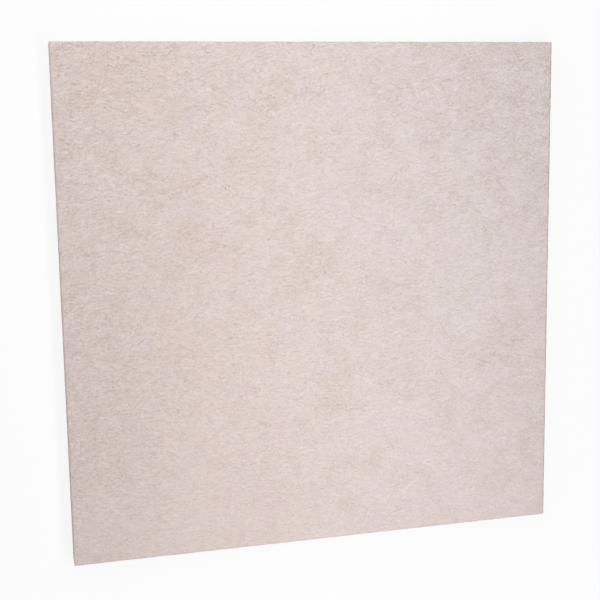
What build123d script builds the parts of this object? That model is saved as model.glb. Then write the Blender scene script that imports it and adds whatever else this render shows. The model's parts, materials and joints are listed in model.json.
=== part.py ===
from build123d import *
import os

os.makedirs("parts", exist_ok=True)

# A square acoustic board, pressed and bonded from loose fibre and cut to size, in millimetres.
# It lies on its back with its face up. The origin is the middle of the back.
board_width = 600.0
board_length = 600.0
board_thickness = 25.0

# The cutting die pushes the face down at the rim: a small quarter ellipse, wider than it is deep.
face_roll_width = 2.0
face_roll_depth = 1.2

# The back edge, where the die leaves, stays almost sharp, and so do the four corners.
back_edge_radius = 0.8
corner_radius = 0.8


def cut_section(width):
    """The closed section across one width, from the back at height 0 to the face."""
    half = width / 2
    side_top = board_thickness - face_roll_depth
    back = Line((0, 0), (half - back_edge_radius, 0))
    back_edge = CenterArc((half - back_edge_radius, back_edge_radius), back_edge_radius, -90, 90)
    side = Line((half, back_edge_radius), (half, side_top))
    roll_centre = (half - face_roll_width, side_top)
    face_roll = EllipticalCenterArc(roll_centre, face_roll_width, face_roll_depth, arc_size=90)
    face = Line((half - face_roll_width, board_thickness), (0, board_thickness))
    right_half = back + back_edge + side + face_roll + face
    return make_face(right_half + mirror(right_half, Plane.YZ))


def fibre_board():
    """Both sections cut the whole outline, so the rolled rim turns each corner on a mitre."""
    # Each section runs on past the board, and the outline past both faces, so no ends coincide.
    across = extrude(Plane.XZ.offset(-board_length) * cut_section(board_width), 2 * board_length)
    along = extrude(Plane.YZ.offset(-board_width) * cut_section(board_length), 2 * board_width)
    die_cut = Plane.XY.offset(-board_thickness) * RectangleRounded(board_width, board_length, corner_radius)
    outline = extrude(die_cut, 3 * board_thickness)
    return across & along & outline


board = fibre_board()
board.label = "fibre_board"
export_step(board, "parts/fibre_board.step")
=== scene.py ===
import json
import math
import random

import bmesh
import bpy
from mathutils import Euler, Matrix, Vector, noise

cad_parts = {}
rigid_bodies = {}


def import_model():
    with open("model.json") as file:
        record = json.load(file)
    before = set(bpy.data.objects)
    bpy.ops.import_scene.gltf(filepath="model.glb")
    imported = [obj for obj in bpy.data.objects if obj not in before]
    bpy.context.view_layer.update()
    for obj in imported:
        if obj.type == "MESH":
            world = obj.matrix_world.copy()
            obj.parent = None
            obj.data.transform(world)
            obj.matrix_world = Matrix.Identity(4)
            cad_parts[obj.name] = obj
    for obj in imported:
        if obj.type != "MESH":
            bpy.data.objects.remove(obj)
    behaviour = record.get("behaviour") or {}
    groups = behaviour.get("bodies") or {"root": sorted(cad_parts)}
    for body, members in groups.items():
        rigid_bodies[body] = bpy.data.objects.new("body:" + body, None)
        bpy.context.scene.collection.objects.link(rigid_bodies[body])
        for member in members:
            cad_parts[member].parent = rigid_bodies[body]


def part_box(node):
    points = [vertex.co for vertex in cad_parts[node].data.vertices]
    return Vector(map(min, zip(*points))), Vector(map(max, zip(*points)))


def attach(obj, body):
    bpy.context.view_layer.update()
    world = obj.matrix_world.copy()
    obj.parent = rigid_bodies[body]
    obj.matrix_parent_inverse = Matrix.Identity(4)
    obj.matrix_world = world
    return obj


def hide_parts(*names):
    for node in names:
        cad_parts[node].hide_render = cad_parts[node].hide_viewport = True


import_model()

scene = bpy.context.scene
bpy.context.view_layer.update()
boardLow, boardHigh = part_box("fibre_board")
halfWidth = (boardHigh.x - boardLow.x) / 2
halfLength = (boardHigh.y - boardLow.y) / 2
boardTop = boardHigh.z
print("frame loaded, board", round(2 * halfWidth, 4), round(2 * halfLength, 4), round(boardTop, 4))


# the angle of the photograph, turned so that it looks down onto the lying board
view = {
    "place": (-0.3644, 0.2123, 1.3257),
    "aim": (-0.0227, -0.0003, 0.025),    # where the middle of the picture meets the face
    "lean": 0.925,                       # degrees clockwise
    "lens": 68.7,
    "sensor": 36.0,
    "nearest": 0.05,
}


def makeCamera():
    data = bpy.data.cameras.new("viewCamera")
    camera = bpy.data.objects.new("viewCamera", data)
    scene.collection.objects.link(camera)
    scene.camera = camera
    data.sensor_width = view["sensor"]
    data.lens = view["lens"]
    data.clip_start = view["nearest"]
    place, aim = Vector(view["place"]), Vector(view["aim"])
    ahead = (aim - place).normalized()
    right = ahead.cross(Vector((0, 1, 0))).normalized()
    turn = Matrix((right, right.cross(ahead), -ahead)).transposed().to_4x4()
    lean = Matrix.Rotation(-math.radians(view["lean"]), 4, "Z")
    camera.matrix_world = Matrix.Translation(place) @ turn @ lean
    print("camera made")


class Wire:
    # one output of a node: arithmetic on it adds the Math nodes
    def __init__(self, bench, node, output):
        self.bench = bench
        self.node = node
        self.socket = node.outputs[output] if len(node.outputs) else None

    def other(self, output):
        return Wire(self.bench, self.node, output)

    def maths(self, operation, *values):
        return self.bench.add("ShaderNodeMath", {"operation": operation}, dict(enumerate(values)))

    def __add__(self, value):
        return self.maths("ADD", self, value)

    def __sub__(self, value):
        return self.maths("SUBTRACT", self, value)

    def __rsub__(self, value):
        return self.maths("SUBTRACT", value, self)

    def __mul__(self, value):
        return self.maths("MULTIPLY", self, value)

    def __abs__(self):
        return self.maths("ABSOLUTE", self)

    def larger(self, value):
        return self.maths("MAXIMUM", self, value)

    def smaller(self, value):
        return self.maths("MINIMUM", self, value)

    __radd__ = __add__
    __rmul__ = __mul__


class Bench:
    # a node tree on the bench: every node comes from add
    def __init__(self, tree):
        self.tree = tree
        tree.nodes.clear()

    def add(self, kind, settings=None, sockets=None, output=0):
        node = self.tree.nodes.new(kind)
        for name, value in (settings or {}).items():
            setattr(node, name, value)
        for name, value in (sockets or {}).items():
            if isinstance(value, Wire):
                self.tree.links.new(value.socket, node.inputs[name])
            else:
                node.inputs[name].default_value = value
        return Wire(self, node, output)


# the board's colours, linear, as they look under plain light
fibre = {
    "ground": (0.735, 0.624, 0.593, 1),    # the board between its strands
    "strand": (0.820, 0.709, 0.682, 1),
    "pale": (0.912, 0.815, 0.793, 1),
    "hair": (0.930, 0.838, 0.817, 1),
    "tan": (0.625, 0.458, 0.358, 1),       # the fibre under the pale fleece
    "umber": (0.585, 0.450, 0.420, 1),     # the same in the cool corner
    "cool": (0.722, 0.670, 0.662, 1),
    "rose": (0.762, 0.565, 0.510, 1),
    "lilac": (0.735, 0.618, 0.675, 1),
    "straw": (0.755, 0.660, 0.560, 1),
    "pink": (0.780, 0.600, 0.590, 1),
    "olive": (0.705, 0.640, 0.570, 1),
    # painted shade for the hollows between bundles, also used for the fine dark grain
    "gapShade": (0.456, 0.381, 0.362, 1),
    "ends": (0.430, 0.350, 0.325, 1),      # painted shade, along the right rim and at the lower left corner
    "speck": (0.120, 0.090, 0.080, 1),
}

# drawn fibre: lean in degrees, length, width and depth in metres, a shift of its own, its bend and share
bundleRows = (
    {"lean": -1, "size": (0.0085, 0.0024, 0.0026), "shift": 0.31, "bend": 1.3, "share": 0.48},
    {"lean": 19, "size": (0.0075, 0.0024, 0.0026), "shift": 0.57, "bend": 1.3, "share": 0.26},
    {"lean": -21, "size": (0.0075, 0.0024, 0.0026), "shift": 0.83, "bend": 1.3, "share": 0.26},
)
threadRows = (
    {"lean": 8, "size": (0.013, 0.0042, 0.0042), "shift": 0.11, "bend": 1.6, "share": 1.0},
    {"lean": -24, "size": (0.012, 0.0040, 0.0040), "shift": 0.27, "bend": 1.5, "share": 1.0},
    {"lean": 41, "size": (0.011, 0.0039, 0.0039), "shift": 0.43, "bend": 1.5, "share": 1.0},
    {"lean": 78, "size": (0.009, 0.0042, 0.0042), "shift": 0.59, "bend": 1.4, "share": 0.6},
)
crimpRows = (
    {"lean": 13, "size": (0.0100, 0.0032, 0.0032), "shift": 0.67, "bend": 1.4, "share": 1.0},
    {"lean": -14, "size": (0.0095, 0.0029, 0.0029), "shift": 0.79, "bend": 1.4, "share": 1.0},
)
threadThick = 0.055           # how far from its level line a thread still shows
crimpThick = 0.105

# clouds of the fleece: those without a size aren't laid, and their scale is in cells to the metre
clouds = {
    "grain": {"lean": 5, "size": (0.0034, 0.0013, 0.0016), "shift": 0.19, "bend": 1.2},
    "hue": {"scale": 40.0, "bend": 0.5},
    "blush": {"lean": 40, "size": (1.0, 1.0, 1.0), "shift": 0.7, "scale": 31.0, "bend": 0.5},
    "drift": {"scale": 5.5, "detail": 3.0, "roughness": 0.55, "bend": 0.3},
    "patch": {"scale": 27.0, "roughness": 0.50, "bend": 0.6},
    "fleck": {"lean": -4, "size": (0.028, 0.014, 0.014), "shift": 0.41, "roughness": 0.55, "bend": 0.9},
}
plainCloud = {"scale": 1.0, "detail": 2.0, "roughness": 0.6}
threadCloud = {"detail": 1.0, "roughness": 0.5}

# how far the fleece stands up; a row grows from one place to another, in metres, to its share
napPlan = {
    "least": 0.62,                      # at the bottom edge
    "upward": (-0.30, 0.22, 0.36),
    "right": (0.05, 0.30, 1.0),         # right and left say where the next two work
    "rightMore": 0.15,
    "rightTop": (0.05, 0.28, 0.22),
    "left": (-0.15, -0.26, 1.0),
    "leftMore": 0.20,
    "leftTop": (0.14, 0.26, 0.34),
}

# layers of colour, each of which grows from one level of its pattern to another, to its share
layerPlan = {
    "rose": (0.12, -0.22, 0.72),        # metres across
    "footLilac": (-0.10, -0.32, 0.26),  # metres up
    "lilac": (0.50, 0.66, 0.42),
    "straw": (0.50, 0.34, 0.42),
    "pink": (0.50, 0.66, 0.40),
    "olive": (0.50, 0.34, 0.40),
    "crest": (0.51, 0.61, 0.24),
    # painted shade between the bundles
    "gapShade": (0.49, 0.40, 0.09),
    "paleGrain": (0.50, 0.68, 0.24),
    # fine dark grain, in the painted shade of the gaps
    "darkGrain": (0.48, 0.32, 0.15),
    "paleStrand": (0.40, 1.0, 0.45),
    "tanStrand": (0.40, 0.0, 0.16),
    "ends": (-0.0022, -0.0010, 0.34),   # painted shade along the right rim, in metres past the right edge
    "speck": (0.020, 0.012, 0.65),
    "wornPatch": (0.70, 0.90, 0.78),
    "wornDrift": (0.52, 0.34, 0.30),
    "wornGap": (0.54, 0.44, 0.10),
}
wholeShares = {"threads": 0.43, "crimp": 0.58, "worn": 0.60}    # the patterns that need no levels
specksToMetre = 21.0

# tones that lie at one place of the face: place, reach, share
broadTones = {
    "cool": ((0.330, 0.140), 0.36, 0.92),
    # painted shade, darker towards the lower left corner
    "dim": ((-0.360, -0.150), 0.17, 0.22),
}

# where the pale fleece is thinner and the tan fibre under it shows: place, reach, share
thinPlaces = (
    ((0.150, 0.250), 0.170, 0.75),
    ((0.260, 0.180), 0.120, 0.65),
    ((0.285, 0.275), 0.060, 0.55),
    ((0.170, 0.110), 0.040, 0.90),
    ((0.250, -0.110), 0.140, 0.70),
    ((0.097, 0.005), 0.032, 0.55),
    ((0.100, -0.100), 0.036, 0.55),
    ((-0.010, 0.020), 0.050, 0.42),
    ((-0.245, -0.010), 0.110, 0.75),
    ((-0.160, 0.085), 0.030, 0.50),
    ((-0.240, 0.275), 0.045, 0.35),
    ((-0.270, -0.190), 0.060, 0.35),
)
placeHeight = 0.022                     # just under the face
placeFade = (1.35, 0.25)                # where a place starts and is whole, in reaches
wander = {
    "tones": 0.30,            # how far the broad tones stray with the drift, in metres
    "thinPlaces": 0.6,        # how ragged the thin places are, in reaches
    "patches": 0.4,           # how much the patches follow the drift
}
thinFlecks = {"wideFrom": 0.06, "wide": 0.48, "small": 0.40, "soft": 0.11}

# how the fibre takes the light, and what its bump is made of
surface = {
    "roughness": 0.93,
    "threadGloss": 0.12,      # how much less rough single fibres are
    "specular": 0.2,
    "sheen": 0.06,
    "sheenRoughness": 0.5,
    "bumpStrength": 0.58,
    "bumpDepth": 0.0012,
}
bumpShares = {"bundles": 0.26, "threads": 0.22, "crimp": 0.62, "grain": 0.17}


class Fleece(Bench):
    # a bench with the patterns of the fibre, all of them on the board's own coordinates
    def __init__(self, tree):
        super().__init__(tree)
        self.place = self.add("ShaderNodeTexCoord").other("Object")
        self.across = self.add("ShaderNodeSeparateXYZ", {}, {"Vector": self.place})
        self.up = self.across.other("Y")

    def ramp(self, value, low, high):
        sockets = {"Value": value, "From Min": low, "From Max": high}
        return self.add("ShaderNodeMapRange", {"clamp": True}, sockets)

    def grade(self, row, value):
        # from 0 at the row's first level to its share at the second
        low, high, share = row
        return self.ramp(value, low, high) * share

    def blend(self, share, first, second):
        return self.add("ShaderNodeMix", {"data_type": "RGBA"}, {0: share, 6: first, 7: second}, 2)

    def laid(self, row):
        # coordinates in which a strand of this size is one unit long and wide
        shift = row["shift"]
        return self.add("ShaderNodeMapping", {"vector_type": "TEXTURE"}, {
            "Vector": self.place,
            "Location": (shift, 0.7 * shift, 0.3 * shift),
            "Rotation": (0, 0, math.radians(row["lean"])),
            "Scale": row["size"],
        })

    def cloud(self, row):
        # soft noise round 0.5
        settings = {**plainCloud, **row}
        return self.add("ShaderNodeTexNoise", {}, {
            "Vector": self.laid(row) if "size" in row else self.place,
            "Scale": settings["scale"],
            "Detail": settings["detail"],
            "Roughness": settings["roughness"],
            "Distortion": settings["bend"],
        })

    def thread(self, row, thick):
        # the level lines of a stretched cloud wander like single fibres
        field = self.cloud({**row, **threadCloud})
        return self.ramp(abs(field - 0.5), thick, 0.0) * row["share"]

    def tangle(self, rows, thick):
        tangled = self.thread(rows[0], thick)
        for row in rows[1:]:
            tangled = tangled.larger(self.thread(row, thick))
        return tangled

    def near(self, spot, reach, stray):
        # 1 at a place on the face, fading out round its reach
        ends = {0: self.place, 1: (*spot, placeHeight)}
        apart = self.add("ShaderNodeVectorMath", {"operation": "DISTANCE"}, ends, "Value")
        return self.ramp(apart + stray, placeFade[0] * reach, placeFade[1] * reach)

    def nap(self):
        # the fleece stands up most near the top edge, and is pressed flatter near the bottom
        right = self.grade(napPlan["rightTop"], self.up) + napPlan["rightMore"]
        left = napPlan["leftMore"] - self.grade(napPlan["leftTop"], self.up)
        nap = napPlan["least"] + self.grade(napPlan["upward"], self.up)
        nap = nap + self.grade(napPlan["right"], self.across) * right
        return nap + self.grade(napPlan["left"], self.across) * left

    def worn(self, drift, nap):
        # the places that are worn thin, in flecks
        patch, fleck = self.cloud(clouds["patch"]), self.cloud(clouds["fleck"])
        worn = self.grade(layerPlan["wornPatch"], patch + drift * wander["patches"]) * nap
        worn = worn + self.grade(layerPlan["wornDrift"], drift)
        for spot, reach, share in thinPlaces:
            least = thinFlecks["wide" if reach > thinFlecks["wideFrom"] else "small"]
            flecks = self.ramp(fleck, least, least + thinFlecks["soft"])
            thin = self.near(spot, reach, patch * (wander["thinPlaces"] * reach))
            worn = worn + thin * share * flecks
        return worn.smaller(1.0)


def fibreFinish(name, ground, toneName=None):
    material = bpy.data.materials.new(name)
    material.use_nodes = True
    fleece = Fleece(material.node_tree)
    nap = fleece.nap()

    # bundles of fibre, most of them lying across, single fibres, and fine crimp between them
    bundles = sum(fleece.cloud(row) * row["share"] for row in bundleRows)
    threads = fleece.tangle(threadRows, threadThick) * nap
    crimp = fleece.tangle(crimpRows, crimpThick) * nap

    # the finest fibre, patches as wide as a finger that lean to a colour, and broad drifts
    grain, hue = fleece.cloud(clouds["grain"]), fleece.cloud(clouds["hue"])
    blush, drift = fleece.cloud(clouds["blush"]), fleece.cloud(clouds["drift"])
    worn = fleece.worn(drift, nap)
    stray = (drift - 0.5) * wander["tones"]

    def at(toneKind):
        spot, reach, share = broadTones[toneKind]
        return fleece.near(spot, reach, stray), share

    def layer(kind, value):
        return fleece.grade(layerPlan[kind], value)

    # cooler at the upper right, more rose to the left, more lilac at the bottom, and painted shade
    # darkens the lower left corner
    coolness, coolShare = at("cool")
    cornerShade, cornerShadeShare = at("dim")
    thin = fleece.blend(coolness, fibre["tan"], fibre["umber"])
    layers = [
        (coolness * coolShare, fibre["cool"]),
        (layer("rose", fleece.across + stray), fibre["rose"]),
        (layer("footLilac", fleece.up + stray), fibre["lilac"]),
        # painted shade at the lower left corner
        (cornerShade * cornerShadeShare, fibre["ends"]),
        (layer("lilac", hue), fibre["lilac"]),
        (layer("straw", hue), fibre["straw"]),
        (layer("pink", blush), fibre["pink"]),
        (layer("olive", blush), fibre["olive"]),
        (layer("crest", bundles) * nap, fibre["pale"]),
        (worn * (wholeShares["worn"] + layer("wornGap", bundles)), thin),
        # painted shade in the gaps between the bundles
        (layer("gapShade", bundles) * nap, fibre["gapShade"]),
        (threads * wholeShares["threads"], fibre["pale"]),
        (crimp * wholeShares["crimp"], fibre["pale"]),
        (layer("paleGrain", grain) * nap, fibre["pale"]),
        # fine dark grain: random speckle of the fibre, laid in the painted shade of the gaps where the
        # grain's bump lies low
        (layer("darkGrain", grain) * nap, fibre["gapShade"]),
    ]
    if toneName:
        # each strand has its own tone
        each = fleece.add("ShaderNodeAttribute", {"attribute_name": toneName}, {}, "Fac")
        layers.append((layer("paleStrand", each), fibre["pale"]))
        layers.append((layer("tanStrand", each), fibre["tan"]))

    # painted shade: a dark band along the right rim, where the rim turns away from the light
    layers.append((layer("ends", fleece.across - halfWidth), fibre["ends"]))

    # a few dark specks caught in the fleece
    sockets = {"Vector": fleece.place, "Scale": specksToMetre}
    cells = fleece.add("ShaderNodeTexVoronoi", {"feature": "F1"}, sockets, "Distance")
    layers.append((layer("speck", cells), fibre["speck"]))

    tone = fibre[ground]
    for share, colour in layers:
        tone = fleece.blend(share, tone, colour)

    height = bundles * nap * bumpShares["bundles"] + threads * bumpShares["threads"]
    height = height + crimp * bumpShares["crimp"] + grain * nap * bumpShares["grain"]
    bump = fleece.add("ShaderNodeBump", {}, {
        "Strength": surface["bumpStrength"],
        "Distance": surface["bumpDepth"],
        "Height": height,
    })
    shader = fleece.add("ShaderNodeBsdfPrincipled", {}, {
        "Base Color": tone,
        "Roughness": surface["roughness"] - threads * surface["threadGloss"],
        "Normal": bump,
        "Specular IOR Level": surface["specular"],
        "Sheen Weight": surface["sheen"],
        "Sheen Roughness": surface["sheenRoughness"],
    })
    fleece.add("ShaderNodeOutputMaterial", {}, {"Surface": shader})
    return material


# the board itself, whose section is the solid's: a rolled rim, square sides, an eased back edge
board = {
    "cellsAcross": 176,
    "cellsUp": 392,           # closer, because the wrinkles lie across
    "rollWidth": 0.002,
    "rollDepth": 0.0012,
    "rollSteps": 3,
    "sideSteps": 14,
    "backEase": 0.0008,
    "cornerEase": 0.00024,
    "cornerZone": 0.0012,     # how far past the flat face the easing starts
    "backCells": 36,
    "backRoughness": 0.00015,
    "backWaves": 40,
}
flatX, flatY = halfWidth - board["rollWidth"], halfLength - board["rollWidth"]

# unevenness of the fibre: waves to the metre along x, y and z, and height in metres
relief = {
    "bend": {"waves": (70, 70, 70), "height": 1.2},            # how the finer waves wander, in waves
    "swell": {"waves": (13, 13, 13), "height": 0.00022},       # broad unevenness of the face
    "billow": {"waves": (31, 31, 31), "height": 0.00011},
    "pucker": {"waves": (45, 75, 75), "height": 0.00008},      # dents as wide as a finger
    "wrinkle": {"waves": (90, 300, 150), "height": 0.00018},   # short wrinkles
    "layer": {"waves": (90, 90, 520), "height": 0.00030},      # laid fibre on the cut sides
}


def ripple(kind, place, bend=(0, 0, 0)):
    row = relief[kind]
    spot = [length * waves + more for length, waves, more in zip(place, row["waves"], bend)]
    return row["height"] * noise.noise(Vector(spot))


def feltHeight(place, tilt):
    # how far the fibre stands proud of the section, where tilt is the normal's rise
    bend = ripple("bend", place)
    slanted = place.x + place.y, place.x - place.y, place.z
    face = ripple("swell", place) + ripple("billow", place) + ripple("pucker", place)
    face += ripple("wrinkle", place, (0, bend, 0))
    return tilt * face + (1 - tilt) * ripple("layer", slanted, (0, 0, bend))


def asMesh(name, bm):
    mesh = bpy.data.meshes.new(name)
    bm.to_mesh(mesh)
    bm.free()
    return mesh


def finished(name, mesh, material):
    mesh.materials.clear()
    mesh.materials.append(material)
    mesh.shade_smooth()
    piece = bpy.data.objects.new(name, mesh)
    scene.collection.objects.link(piece)
    print(name, "made,", len(mesh.loops) - 2 * len(mesh.polygons), "triangles")
    return piece


def grown(bm, edges):
    # the edges and vertices that one extrusion adds
    added = bmesh.ops.extrude_edge_only(bm, edges=edges)["geom"]
    newEdges = [item for item in added if isinstance(item, bmesh.types.BMEdge)]
    return newEdges, [item for item in added if isinstance(item, bmesh.types.BMVert)]


# where the face, the back and the four sides lie on the board's map
mapName = "OFBake"
atlas = {
    "face": {"corner": (0.005, 0.005), "size": (0.76, 0.76)},
    "back": {"corner": (0.775, 0.005), "size": (0.22, 0.22)},
    "side": {"corner": (0.005, 0.775), "size": (0.76, 0.045), "pitch": 0.055},
}


def onAtlas(place, normal):
    along, up = place.x / (2 * halfWidth) + 0.5, place.y / (2 * halfLength) + 0.5
    part, row = atlas["face"] if normal.z > 0 else atlas["back"], 0
    if abs(normal.z) < 0.5:
        part = atlas["side"]
        row = (2 if abs(normal.x) > abs(normal.y) else 0) + (1 if normal.x + normal.y > 0 else 0)
        along, up = up if row > 1 else along, place.z / boardTop
    corner, size = part["corner"], part["size"]
    return corner[0] + size[0] * along, corner[1] + size[1] * up + part.get("pitch", 0) * row


def boardRings():
    # rings outside the flat face, down to the back: how far past it, and how high
    sideTop = boardTop - board["rollDepth"]
    rings = []
    for step in range(1, board["rollSteps"] + 1):
        turn = math.radians(90 * step / board["rollSteps"])
        rings.append((board["rollWidth"] * math.sin(turn), sideTop + board["rollDepth"] * math.cos(turn)))
    for step in range(1, board["sideSteps"] + 1):
        share = step / board["sideSteps"]
        rings.append((board["rollWidth"], sideTop + (board["backEase"] - sideTop) * share))
    for turn in (math.radians(45), math.radians(90)):
        inward = board["backEase"] * (1 - math.cos(turn))
        rings.append((board["rollWidth"] - inward, board["backEase"] * (1 - math.sin(turn))))
    return rings


def makeBoard(material):
    bm = bmesh.new()
    bmesh.ops.create_grid(bm, x_segments=board["cellsAcross"], y_segments=board["cellsUp"], size=1)
    bmesh.ops.scale(bm, vec=(flatX, flatY, 1), verts=bm.verts)
    bmesh.ops.translate(bm, vec=(0, 0, boardTop), verts=bm.verts)

    edges = [edge for edge in bm.edges if edge.is_boundary]
    past, high = 0.0, boardTop
    for nextPast, nextHigh in boardRings():
        edges, verts = grown(bm, edges)
        stretch = [(side + nextPast) / (side + past) for side in (flatX, flatY)]
        bmesh.ops.scale(bm, vec=(stretch[0], stretch[1], 1), verts=verts)
        bmesh.ops.translate(bm, vec=(0, 0, nextHigh - high), verts=verts)
        past, high = nextPast, nextHigh

    # the corners are eased a little
    for vert in bm.verts:
        outside = min(abs(vert.co.x) - flatX, abs(vert.co.y) - flatY)
        if outside > board["cornerZone"]:
            ease = board["cornerEase"] * outside / board["rollWidth"]
            vert.co.x -= math.copysign(ease, vert.co.x)
            vert.co.y -= math.copysign(ease, vert.co.y)

    # the pressed back, inside a narrow margin
    cells = board["backCells"]
    inner = bmesh.ops.create_grid(bm, x_segments=cells, y_segments=cells, size=1)["verts"]
    bmesh.ops.scale(bm, vec=(flatX, flatY, 1), verts=inner)
    innerEdges = {edge for vert in inner for edge in vert.link_edges if edge.is_boundary}
    bmesh.ops.bridge_loops(bm, edges=edges + list(innerEdges))
    bmesh.ops.recalc_face_normals(bm, faces=bm.faces)

    # the relief, with the back edge left true
    bm.normal_update()
    moves = []
    inside = set(inner)
    trueBelow = 0.9 * board["backEase"]
    for vert in bm.verts:
        if vert in inside:
            dent = board["backRoughness"] * (1 + noise.noise(vert.co * board["backWaves"]))
            moves.append(Vector((0, 0, dent)))
        elif vert.co.z < trueBelow:
            moves.append(Vector((0, 0, 0)))
        else:
            moves.append(vert.normal * feltHeight(vert.co, max(vert.normal.z, 0)))
    spots = bm.loops.layers.uv.new(mapName)
    for face in bm.faces:
        for loop in face.loops:
            loop[spots].uv = onAtlas(loop.vert.co, face.normal)
    for vert, move in zip(bm.verts, moves):
        vert.co += move
    return finished("fibreBoard", asMesh("fibreBoard", bm), material)


# one fibre bundle, about one unit long, wide and high, which each strand stretches to its own size
strand = {
    "kinds": 8,
    "rings": 5,
    "seed": 20,
    "section": (0.577, 0.667),    # makes a triangle of radius 1 one unit wide and high
    "turns": (0.5, 1.2),          # half waves of the sway along it
    "start": (0, 6.28),           # where the wave starts, in radians
    "sway": (0.5, 1.0),           # this and the bow are shares of the field's wave
    "bow": (-1.2, 1.2),
    "fat": (-0.25, 0.25),         # which end is thicker
    "tipMerge": 0.005,            # each tip closes to one point
    "headings": 3,                # draws that are added up, so that most strands lie near the middle
    "headingShare": 0.66,
    "nap": (0.62, 0.98),          # rise at the bottom edge and at the top edge
}


def makeStrandKinds(name, wave):
    draw = random.Random(strand["seed"])
    standing = Euler((math.radians(90), 0, math.radians(90))).to_matrix()
    kinds = bpy.data.collections.new(name)
    for number in range(strand["kinds"]):
        bm = bmesh.new()
        bmesh.ops.create_circle(bm, segments=3, radius=1)
        # the three-sided section stands across the strand, flat side down
        bmesh.ops.rotate(bm, matrix=standing, verts=bm.verts)
        bmesh.ops.scale(bm, vec=(1, *strand["section"]), verts=bm.verts)
        bmesh.ops.translate(bm, vec=(-0.5, 0, -min(vert.co.z for vert in bm.verts)), verts=bm.verts)
        edges = list(bm.edges)
        for ring in range(strand["rings"]):
            edges, verts = grown(bm, edges)
            bmesh.ops.translate(bm, vec=(1 / strand["rings"], 0, 0), verts=verts)
        turns, start = draw.uniform(*strand["turns"]), draw.uniform(*strand["start"])
        sway, bow = wave * draw.uniform(*strand["sway"]), wave * draw.uniform(*strand["bow"])
        fat = draw.uniform(*strand["fat"])
        for vert in bm.verts:
            along = 2 * vert.co.x
            taper = math.sqrt(max(0.0, 1 - along * along)) * (1 + fat * along)
            aside = sway * math.sin(math.pi * turns * along + start) + bow * (1 - along * along)
            vert.co.y = vert.co.y * taper + aside
            vert.co.z *= taper
        bmesh.ops.remove_doubles(bm, verts=bm.verts, dist=strand["tipMerge"])
        bmesh.ops.recalc_face_normals(bm, faces=bm.faces)
        mesh = asMesh(name + str(number), bm)
        kinds.objects.link(bpy.data.objects.new(mesh.name, mesh))
    return kinds


def dropKinds(kinds):
    for kind in list(kinds.objects):
        bpy.data.meshes.remove(kind.data)
    bpy.data.collections.remove(kinds)


# the surface unrolled: the flat face, then the rim and the sides as flaps
rimSteps = 30


def rimLine():
    # reach, drop and lean at even steps round the roll, and its length from the flat face
    line, length, last = [], 0.0, Vector((0, 0))
    for step in range(rimSteps + 1):
        turn = math.radians(90 * step / rimSteps)
        now = Vector((board["rollWidth"] * math.sin(turn), board["rollDepth"] * (1 - math.cos(turn))))
        length += (now - last).length
        last = now
        lean = math.atan2(board["rollDepth"] * math.sin(turn), board["rollWidth"] * math.cos(turn))
        line.append((now.x, now.y, lean))
    return line, length


roll, rollLength = rimLine()
clearOfBack = 4 * board["backEase"]    # keeps the side strands off the floor
flapReach = rollLength + boardTop - board["rollDepth"] - clearOfBack
unrolledSpan = 2 * (max(flatX, flatY) + flapReach)
mapShare = 0.98               # of the map that the unrolled surface takes up


def overRim(past):
    if past <= 0:
        return 0.0, 0.0, 0.0
    if past >= rollLength:
        return board["rollWidth"], board["rollDepth"] + past - rollLength, math.pi / 2
    spot = rimSteps * past / rollLength
    low = min(int(spot), rimSteps - 1)
    share = spot - low
    return tuple(a + (b - a) * share for a, b in zip(roll[low], roll[low + 1]))


def bentOver(flatPlace):
    # a point of the unrolled surface, with its height, on the real one
    signX, signY = math.copysign(1, flatPlace.x), math.copysign(1, flatPlace.y)
    outX, dropX, leanX = overRim(abs(flatPlace.x) - flatX)
    outY, dropY, leanY = overRim(abs(flatPlace.y) - flatY)
    base = Vector((
        signX * (min(abs(flatPlace.x), flatX) + outX),
        signY * (min(abs(flatPlace.y), flatY) + outY),
        boardTop - max(dropX, dropY),
    ))
    rise = math.cos(max(leanX, leanY))
    normal = Vector((signX * math.sin(leanX), signY * math.sin(leanY), rise)).normalized()
    return base + normal * (flatPlace.z + feltHeight(base, max(normal.z, 0)))


def unrolledSheet(flaps):
    # either the face with its rim, or the rim and the sides alone
    bm = bmesh.new()
    reach = flapReach if flaps else rollLength
    bmesh.ops.create_grid(bm, x_segments=3, y_segments=3, size=3)
    for vert in bm.verts:
        vert.co.x = math.copysign(flatX + (reach if abs(vert.co.x) > 2 else 0), vert.co.x)
        vert.co.y = math.copysign(flatY + (reach if abs(vert.co.y) > 2 else 0), vert.co.y)
    corners, middle = [], []
    for face in bm.faces:
        centre = face.calc_center_median()
        if abs(centre.x) > flatX and abs(centre.y) > flatY:
            corners.append(face)
        elif abs(centre.x) < flatX and abs(centre.y) < flatY:
            middle.append(face)
    bmesh.ops.delete(bm, geom=corners + (middle if flaps else []), context="FACES")
    return asMesh("unrolledSheet", bm)


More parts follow.
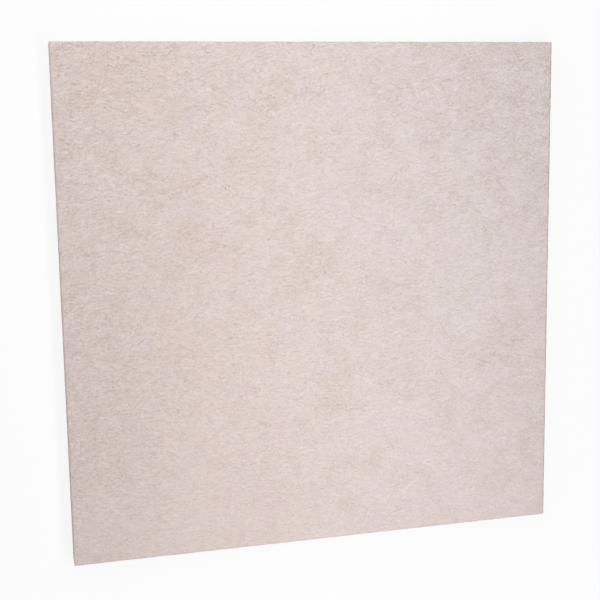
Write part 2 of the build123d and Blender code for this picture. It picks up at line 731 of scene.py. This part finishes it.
# the strands by kind, in metres and degrees; sunk is how deep their flat side lies
strandFields = {
    "wrinkleStrands": {
        "count": 8000, "seed": 3, "wave": 1.3, "flaps": False, "sunk": 0.00018, "finish": "strand",
        "length": (0.0055, 0.0125), "width": (0.0009, 0.0015), "rise": (0.00040, 0.00062), "lean": 22,
    },
    "crossStrands": {
        "count": 8000, "seed": 4, "wave": 1.6, "flaps": False, "sunk": 0.00016, "finish": "strand",
        "length": (0.0040, 0.0095), "width": (0.0006, 0.0011), "rise": (0.00036, 0.00056), "lean": 45,
    },
    "looseHairs": {
        "count": 8000, "seed": 5, "wave": 2.4, "flaps": False, "sunk": 0.00010, "finish": "hair",
        "length": (0.0045, 0.011), "width": (0.00035, 0.00060), "rise": (0.00038, 0.00060), "lean": 60,
    },
    "longFibres": {
        "count": 650, "seed": 7, "wave": 2.2, "flaps": False, "sunk": 0.00012, "finish": "hair",
        "length": (0.014, 0.030), "width": (0.0008, 0.0013), "rise": (0.00050, 0.00070), "lean": 38,
    },
    "sideStrands": {
        "count": 5200, "seed": 6, "wave": 0.7, "flaps": True, "sunk": 0.00012, "finish": "strand",
        "length": (0.004, 0.013), "width": (0.0005, 0.0011), "rise": (0.00026, 0.00044), "lean": 16,
    },
}


def scatter(name, field, kinds):
    # strands strewn over the unrolled sheet and made into one mesh
    tree = bpy.data.node_groups.new(name, "GeometryNodeTree")
    tree.interface.new_socket("Geometry", in_out="INPUT", socket_type="NodeSocketGeometry")
    tree.interface.new_socket("Geometry", in_out="OUTPUT", socket_type="NodeSocketGeometry")
    bench = Bench(tree)
    seed = field["seed"] * 100    # leaves room for the number of each draw

    def chance(low, high, number):
        sockets = {2: low, 3: high, "Seed": seed + number}
        return bench.add("FunctionNodeRandomValue", {"data_type": "FLOAT"}, sockets, 1)

    sheet = bpy.data.objects.new(name, unrolledSheet(field["flaps"]))
    scene.collection.objects.link(sheet)
    area = sum(face.area for face in sheet.data.polygons)
    group = bench.add("NodeGroupInput")
    points = bench.add("GeometryNodeDistributePointsOnFaces", {"distribute_method": "RANDOM"}, {
        "Mesh": group, "Density": field["count"] / area, "Seed": seed,
    })
    kindsIn = bench.add("GeometryNodeCollectionInfo", {}, {
        "Collection": kinds, "Separate Children": True, "Reset Children": True,
    })
    place = bench.add("GeometryNodeInputPosition")
    across = bench.add("ShaderNodeSeparateXYZ", {}, {"Vector": place})

    lean = math.radians(field["lean"])
    draws = [chance(-lean, lean, number + 1) for number in range(strand["headings"])]
    heading = sum(draws) * strand["headingShare"]
    if field["flaps"]:
        # along the left and right sides the strands turn with the edge
        beside = across.maths("GREATER_THAN", abs(across), flatX)
        heading = heading + beside * (math.pi / 2)

    # the nap again: strands lie lower near the bottom edge
    nap = bench.add("ShaderNodeMapRange", {}, {
        "Value": across.other("Y"),
        "From Min": -halfLength, "From Max": halfLength,
        "To Min": strand["nap"][0], "To Max": strand["nap"][1],
    })
    turn = bench.add("ShaderNodeCombineXYZ", {}, {"Z": heading})
    turn = bench.add("FunctionNodeEulerToRotation", {}, {"Euler": turn})
    size = bench.add("ShaderNodeCombineXYZ", {}, {
        "X": chance(*field["length"], 4),
        "Y": chance(*field["width"], 5),
        "Z": chance(*field["rise"], 6) * nap,
    })
    kind = chance(0, strand["kinds"] - 0.001, 7)    # stays just under the number of kinds
    strands = bench.add("GeometryNodeInstanceOnPoints", {}, {
        "Points": points, "Instance": kindsIn, "Pick Instance": True, "Rotation": turn, "Scale": size,
        "Instance Index": kind.maths("FLOOR", kind),
    })
    toned = bench.add("GeometryNodeStoreNamedAttribute", {"data_type": "FLOAT", "domain": "INSTANCE"}, {
        "Geometry": strands, "Name": "tone", "Value": chance(0, 1, 8),
    })
    whole = bench.add("GeometryNodeRealizeInstances", {}, {"Geometry": toned})

    # the unrolled sheet is also the map
    scale = mapShare / unrolledSpan
    spot = bench.add("ShaderNodeVectorMath", {"operation": "MULTIPLY_ADD"}, {
        0: place, 1: (scale, scale, 0), 2: (0.5, 0.5, 0),
    })
    mapped = bench.add("GeometryNodeStoreNamedAttribute", {"data_type": "FLOAT2", "domain": "CORNER"}, {
        "Geometry": whole, "Name": mapName, "Value": spot,
    })
    bench.add("NodeGroupOutput", {}, {"Geometry": mapped})

    sheet.modifiers.new("strew", "NODES").node_group = tree
    graph = bpy.context.evaluated_depsgraph_get()
    strewn = sheet.evaluated_get(graph)
    mesh = bpy.data.meshes.new_from_object(strewn, preserve_all_data_layers=True, depsgraph=graph)
    bpy.data.objects.remove(sheet)
    bpy.data.node_groups.remove(tree)
    return mesh


def makeStrands(name, field, material):
    kinds = makeStrandKinds(name + "Kind", field["wave"])
    mesh = scatter(name, field, kinds)
    dropKinds(kinds)
    mesh.name = name
    for vert in mesh.vertices:
        flatPlace = vert.co.copy()
        flatPlace.z -= field["sunk"]
        vert.co = bentOver(flatPlace)
    return finished(name, mesh, material)


studio = {
    "key": {
        "power": 5.55, "wide": 0.20, "long": 1.95,
        "place": (0.06, -0.20, 0.72), "at": (0.06, -0.20, 0),
    },
    "fill": {
        "power": 4.53, "wide": 1.2, "long": 1.2,
        "place": (-0.60, 0.86, 0.58), "at": (0, 0, 0),
    },
    "ambient": 0.42,
    "dimSide": 0.85,                # how much less light comes in low from the right
    "dimFrom": (0.3, 0.8),          # how far to the right that starts and is whole
    "floorHalf": 6,
    "floorDrop": 0.0002,            # keeps the floor clear of the board's back
    "floorColour": (0.92, 0.92, 0.92, 1),
    "floorWhite": (0.86, 0.985),    # share of plain white that is seen, beside the board and far off
    "floorNear": (0.42, 1.0),       # how far from the middle these two places are
}


def makeLamp(name, lamp):
    data = bpy.data.lights.new(name, "AREA")
    data.energy = lamp["power"]
    data.shape = "RECTANGLE"
    data.size = lamp["wide"]
    data.size_y = lamp["long"]
    light = bpy.data.objects.new(name, data)
    scene.collection.objects.link(light)
    light.location = lamp["place"]
    light.rotation_mode = "QUATERNION"
    light.rotation_quaternion = (Vector(lamp["at"]) - Vector(lamp["place"])).to_track_quat("-Z", "Y")
    light.visible_camera = False


def directlySeen(bench):
    # 1 for what the camera sees straight, in gloss or through glass
    path = bench.add("ShaderNodeLightPath")
    seen = path.other("Is Camera Ray").larger(path.other("Is Glossy Ray"))
    return seen.larger(path.other("Is Transmission Ray"))


def floorFinish():
    material = bpy.data.materials.new("paleFloor")
    material.use_nodes = True
    bench = Bench(material.node_tree)
    matt = bench.add("ShaderNodeBsdfDiffuse", {}, {"Color": studio["floorColour"]})
    white = bench.add("ShaderNodeEmission", {}, {"Color": (1, 1, 1, 1), "Strength": 1.0})
    # beside the board more of the floor's own shade shows, so that it keeps the shadow
    spot = bench.add("ShaderNodeTexCoord").other("Object")
    away = bench.add("ShaderNodeVectorMath", {"operation": "LENGTH"}, {0: spot}, "Value")
    whiteShare = bench.add("ShaderNodeMapRange", {"clamp": True}, {
        "Value": away,
        "From Min": studio["floorNear"][0], "From Max": studio["floorNear"][1],
        "To Min": studio["floorWhite"][0], "To Max": studio["floorWhite"][1],
    })
    look = bench.add("ShaderNodeMixShader", {}, {0: directlySeen(bench) * whiteShare, 1: matt, 2: white})
    bench.add("ShaderNodeOutputMaterial", {}, {"Surface": look})
    return material


def makeWorld():
    world = bpy.data.worlds.new("studioWorld")
    world.use_nodes = True
    scene.world = world
    bench = Bench(world.node_tree)
    heading = bench.add("ShaderNodeTexCoord").other("Generated")
    toRight = bench.add("ShaderNodeSeparateXYZ", {}, {"Vector": heading})
    low = bench.add("ShaderNodeMapRange", {"clamp": True}, {
        "Value": toRight, "From Min": studio["dimFrom"][0], "From Max": studio["dimFrom"][1],
    })
    ambient = (1 - low * studio["dimSide"]) * studio["ambient"]
    seen = directlySeen(bench)
    glow = seen + (1 - seen) * ambient
    sky = bench.add("ShaderNodeBackground", {}, {"Color": (1, 1, 1, 1), "Strength": glow})
    bench.add("ShaderNodeOutputWorld", {}, {"Surface": sky})


def makeStudio():
    makeLamp("keyLamp", studio["key"])
    makeLamp("fillLamp", studio["fill"])
    bm = bmesh.new()
    bmesh.ops.create_grid(bm, x_segments=1, y_segments=1, size=studio["floorHalf"])
    bmesh.ops.translate(bm, vec=(0, 0, -studio["floorDrop"]), verts=bm.verts)
    finished("floor", asMesh("floor", bm), floorFinish())
    makeWorld()
    print("lamps, floor and world made")


makeCamera()
fibreBoard = makeBoard(fibreFinish("bondedFibre", "ground"))
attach(fibreBoard, "root")
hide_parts("fibre_board")

finishes = {
    "strand": fibreFinish("strandFibre", "strand", "tone"),
    "hair": fibreFinish("looseFibre", "hair", "tone"),
}
for fieldName, fieldSettings in strandFields.items():
    strands = makeStrands(fieldName, fieldSettings, finishes[fieldSettings["finish"]])
    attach(strands, "root")
makeStudio()

scene.view_settings.view_transform = "Standard"
